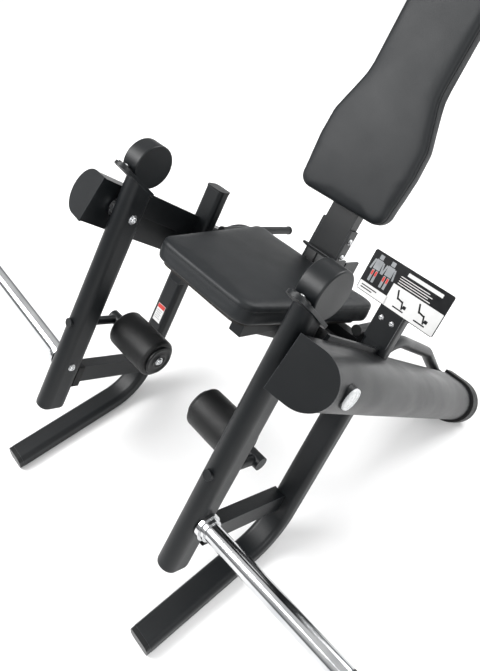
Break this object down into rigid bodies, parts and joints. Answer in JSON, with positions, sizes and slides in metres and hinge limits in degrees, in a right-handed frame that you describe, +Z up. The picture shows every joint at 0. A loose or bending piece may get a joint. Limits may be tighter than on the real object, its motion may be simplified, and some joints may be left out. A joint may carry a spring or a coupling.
{
  "type": "plate-loaded leg extension machine",
  "caption": "Seated leg extension gym machine with two independent plate-loaded lever arms, ankle rollers, counterweights and a sliding back rest.",
  "frame": {"origin": "on the floor, under the middle of the machine's bounding box", "axes": "+Z up, the user sits facing -Y, +X is to the user's left"},
  "size_m": [1.6054, 1.5053, 1.4732],
  "materials": {
    "black_powder_coat": "satin",
    "black_vinyl": "satin",
    "black_foam": "satin",
    "black_rubber": "matte",
    "black_plastic": "satin",
    "plywood": "painted black",
    "chrome": "polished",
    "zinc_steel": "bright zinc",
    "silver_cover": "gloss",
    "printed_sign": "printed"
  },
  "bodies": {
    "frame": {"back_receiver": "black_powder_coat", "brace_tubes": "black_powder_coat", "front_cross_tube": "black_powder_coat", "front_plugs": "black_plastic", "handle_caps": "black_plastic", "left_base_tube": "black_powder_coat", "left_side_tube": "black_powder_coat", "pivot_bearings": "zinc_steel", "pivot_covers": "silver_cover", "pivot_housings": "black_powder_coat", "rear_cross_tube": "black_powder_coat", "rear_feet": "black_rubber", "right_base_tube": "black_powder_coat", "right_side_tube": "black_powder_coat", "seat_board": "plywood", "seat_handles": "black_powder_coat", "seat_pad": "black_vinyl", "seat_rails": "black_powder_coat", "side_rails": "black_powder_coat", "side_tube_caps": "black_powder_coat", "sign_board": "printed_sign", "sign_bolts": "zinc_steel", "sign_bracket": "black_powder_coat", "stop_blocks": "black_rubber", "stop_tubes": "black_powder_coat", "upright_caps": "black_plastic"},
    "right_arm": {"right_arm_tube": "black_powder_coat", "right_flange_plate": "black_powder_coat", "right_counterweight": "black_powder_coat", "right_top_boss": "black_plastic", "right_pivot_shaft": "zinc_steel", "right_pivot_spacer": "zinc_steel", "right_arm_bolts": "zinc_steel", "right_weight_horn": "chrome", "right_arm_end_caps": "black_plastic", "right_roller_carrier": "black_powder_coat"},
    "left_arm": {"left_arm_tube": "black_powder_coat", "left_flange_plate": "black_powder_coat", "left_counterweight": "black_powder_coat", "left_top_boss": "black_plastic", "left_pivot_shaft": "zinc_steel", "left_pivot_spacer": "zinc_steel", "left_arm_bolts": "zinc_steel", "left_weight_horn": "chrome", "left_arm_end_caps": "black_plastic", "left_roller_carrier": "black_powder_coat"},
    "right_roller": {"right_roller_foam": "black_foam", "right_roller_core": "black_plastic"},
    "left_roller": {"left_roller_foam": "black_foam", "left_roller_core": "black_plastic"},
    "back_rest": {"back_pad": "black_vinyl", "back_board": "plywood", "back_post": "black_powder_coat", "back_slider": "zinc_steel", "carriage_cheeks": "black_powder_coat", "carriage_plates": "black_powder_coat", "carriage_bolts": "zinc_steel"},
    "release_lever": {"release_lever": "black_powder_coat"},
    "latch_pin": {"latch_pin": "zinc_steel"}
  },
  "joints": [
    {"name": "right_arm_swing", "type": "hinge", "parent": "frame", "child": "right_arm", "pos_m": [0.3185, -0.2607, 0.834], "axis": [-1, 0, 0], "range_deg": [0, 100]},
    {"name": "right_roller_spin", "type": "hinge", "parent": "right_arm", "child": "right_roller", "pos_m": [0.19, -0.32668, 0.4443], "axis": [1, 0, 0], "continuous": true},
    {"name": "left_arm_swing", "type": "hinge", "parent": "frame", "child": "left_arm", "pos_m": [-0.3185, -0.2607, 0.834], "axis": [-1, 0, 0], "range_deg": [0, 100]},
    {"name": "left_roller_spin", "type": "hinge", "parent": "left_arm", "child": "left_roller", "pos_m": [-0.19, -0.32668, 0.4443], "axis": [1, 0, 0], "continuous": true},
    {"name": "back_rest_slide", "type": "slide", "parent": "frame", "child": "back_rest", "axis": [0, 0.891, -0.454], "range_m": [0, 0.1]},
    {"name": "release_lever_lift", "type": "hinge", "parent": "back_rest", "child": "release_lever", "pos_m": [0, 0.2653, 0.6], "axis": [-1, 0, 0], "range_deg": [0, 18], "stiffness_Nm_per_rad": 2},
    {"name": "latch_pin_pull", "type": "slide", "parent": "back_rest", "child": "latch_pin", "axis": [0, -0.454, -0.891], "range_m": [0, 0.008]}
  ],
  "couplings": [
    {"joint": "latch_pin_pull", "follows": "release_lever_lift", "m_per_rad": 0.025465}
  ]
}
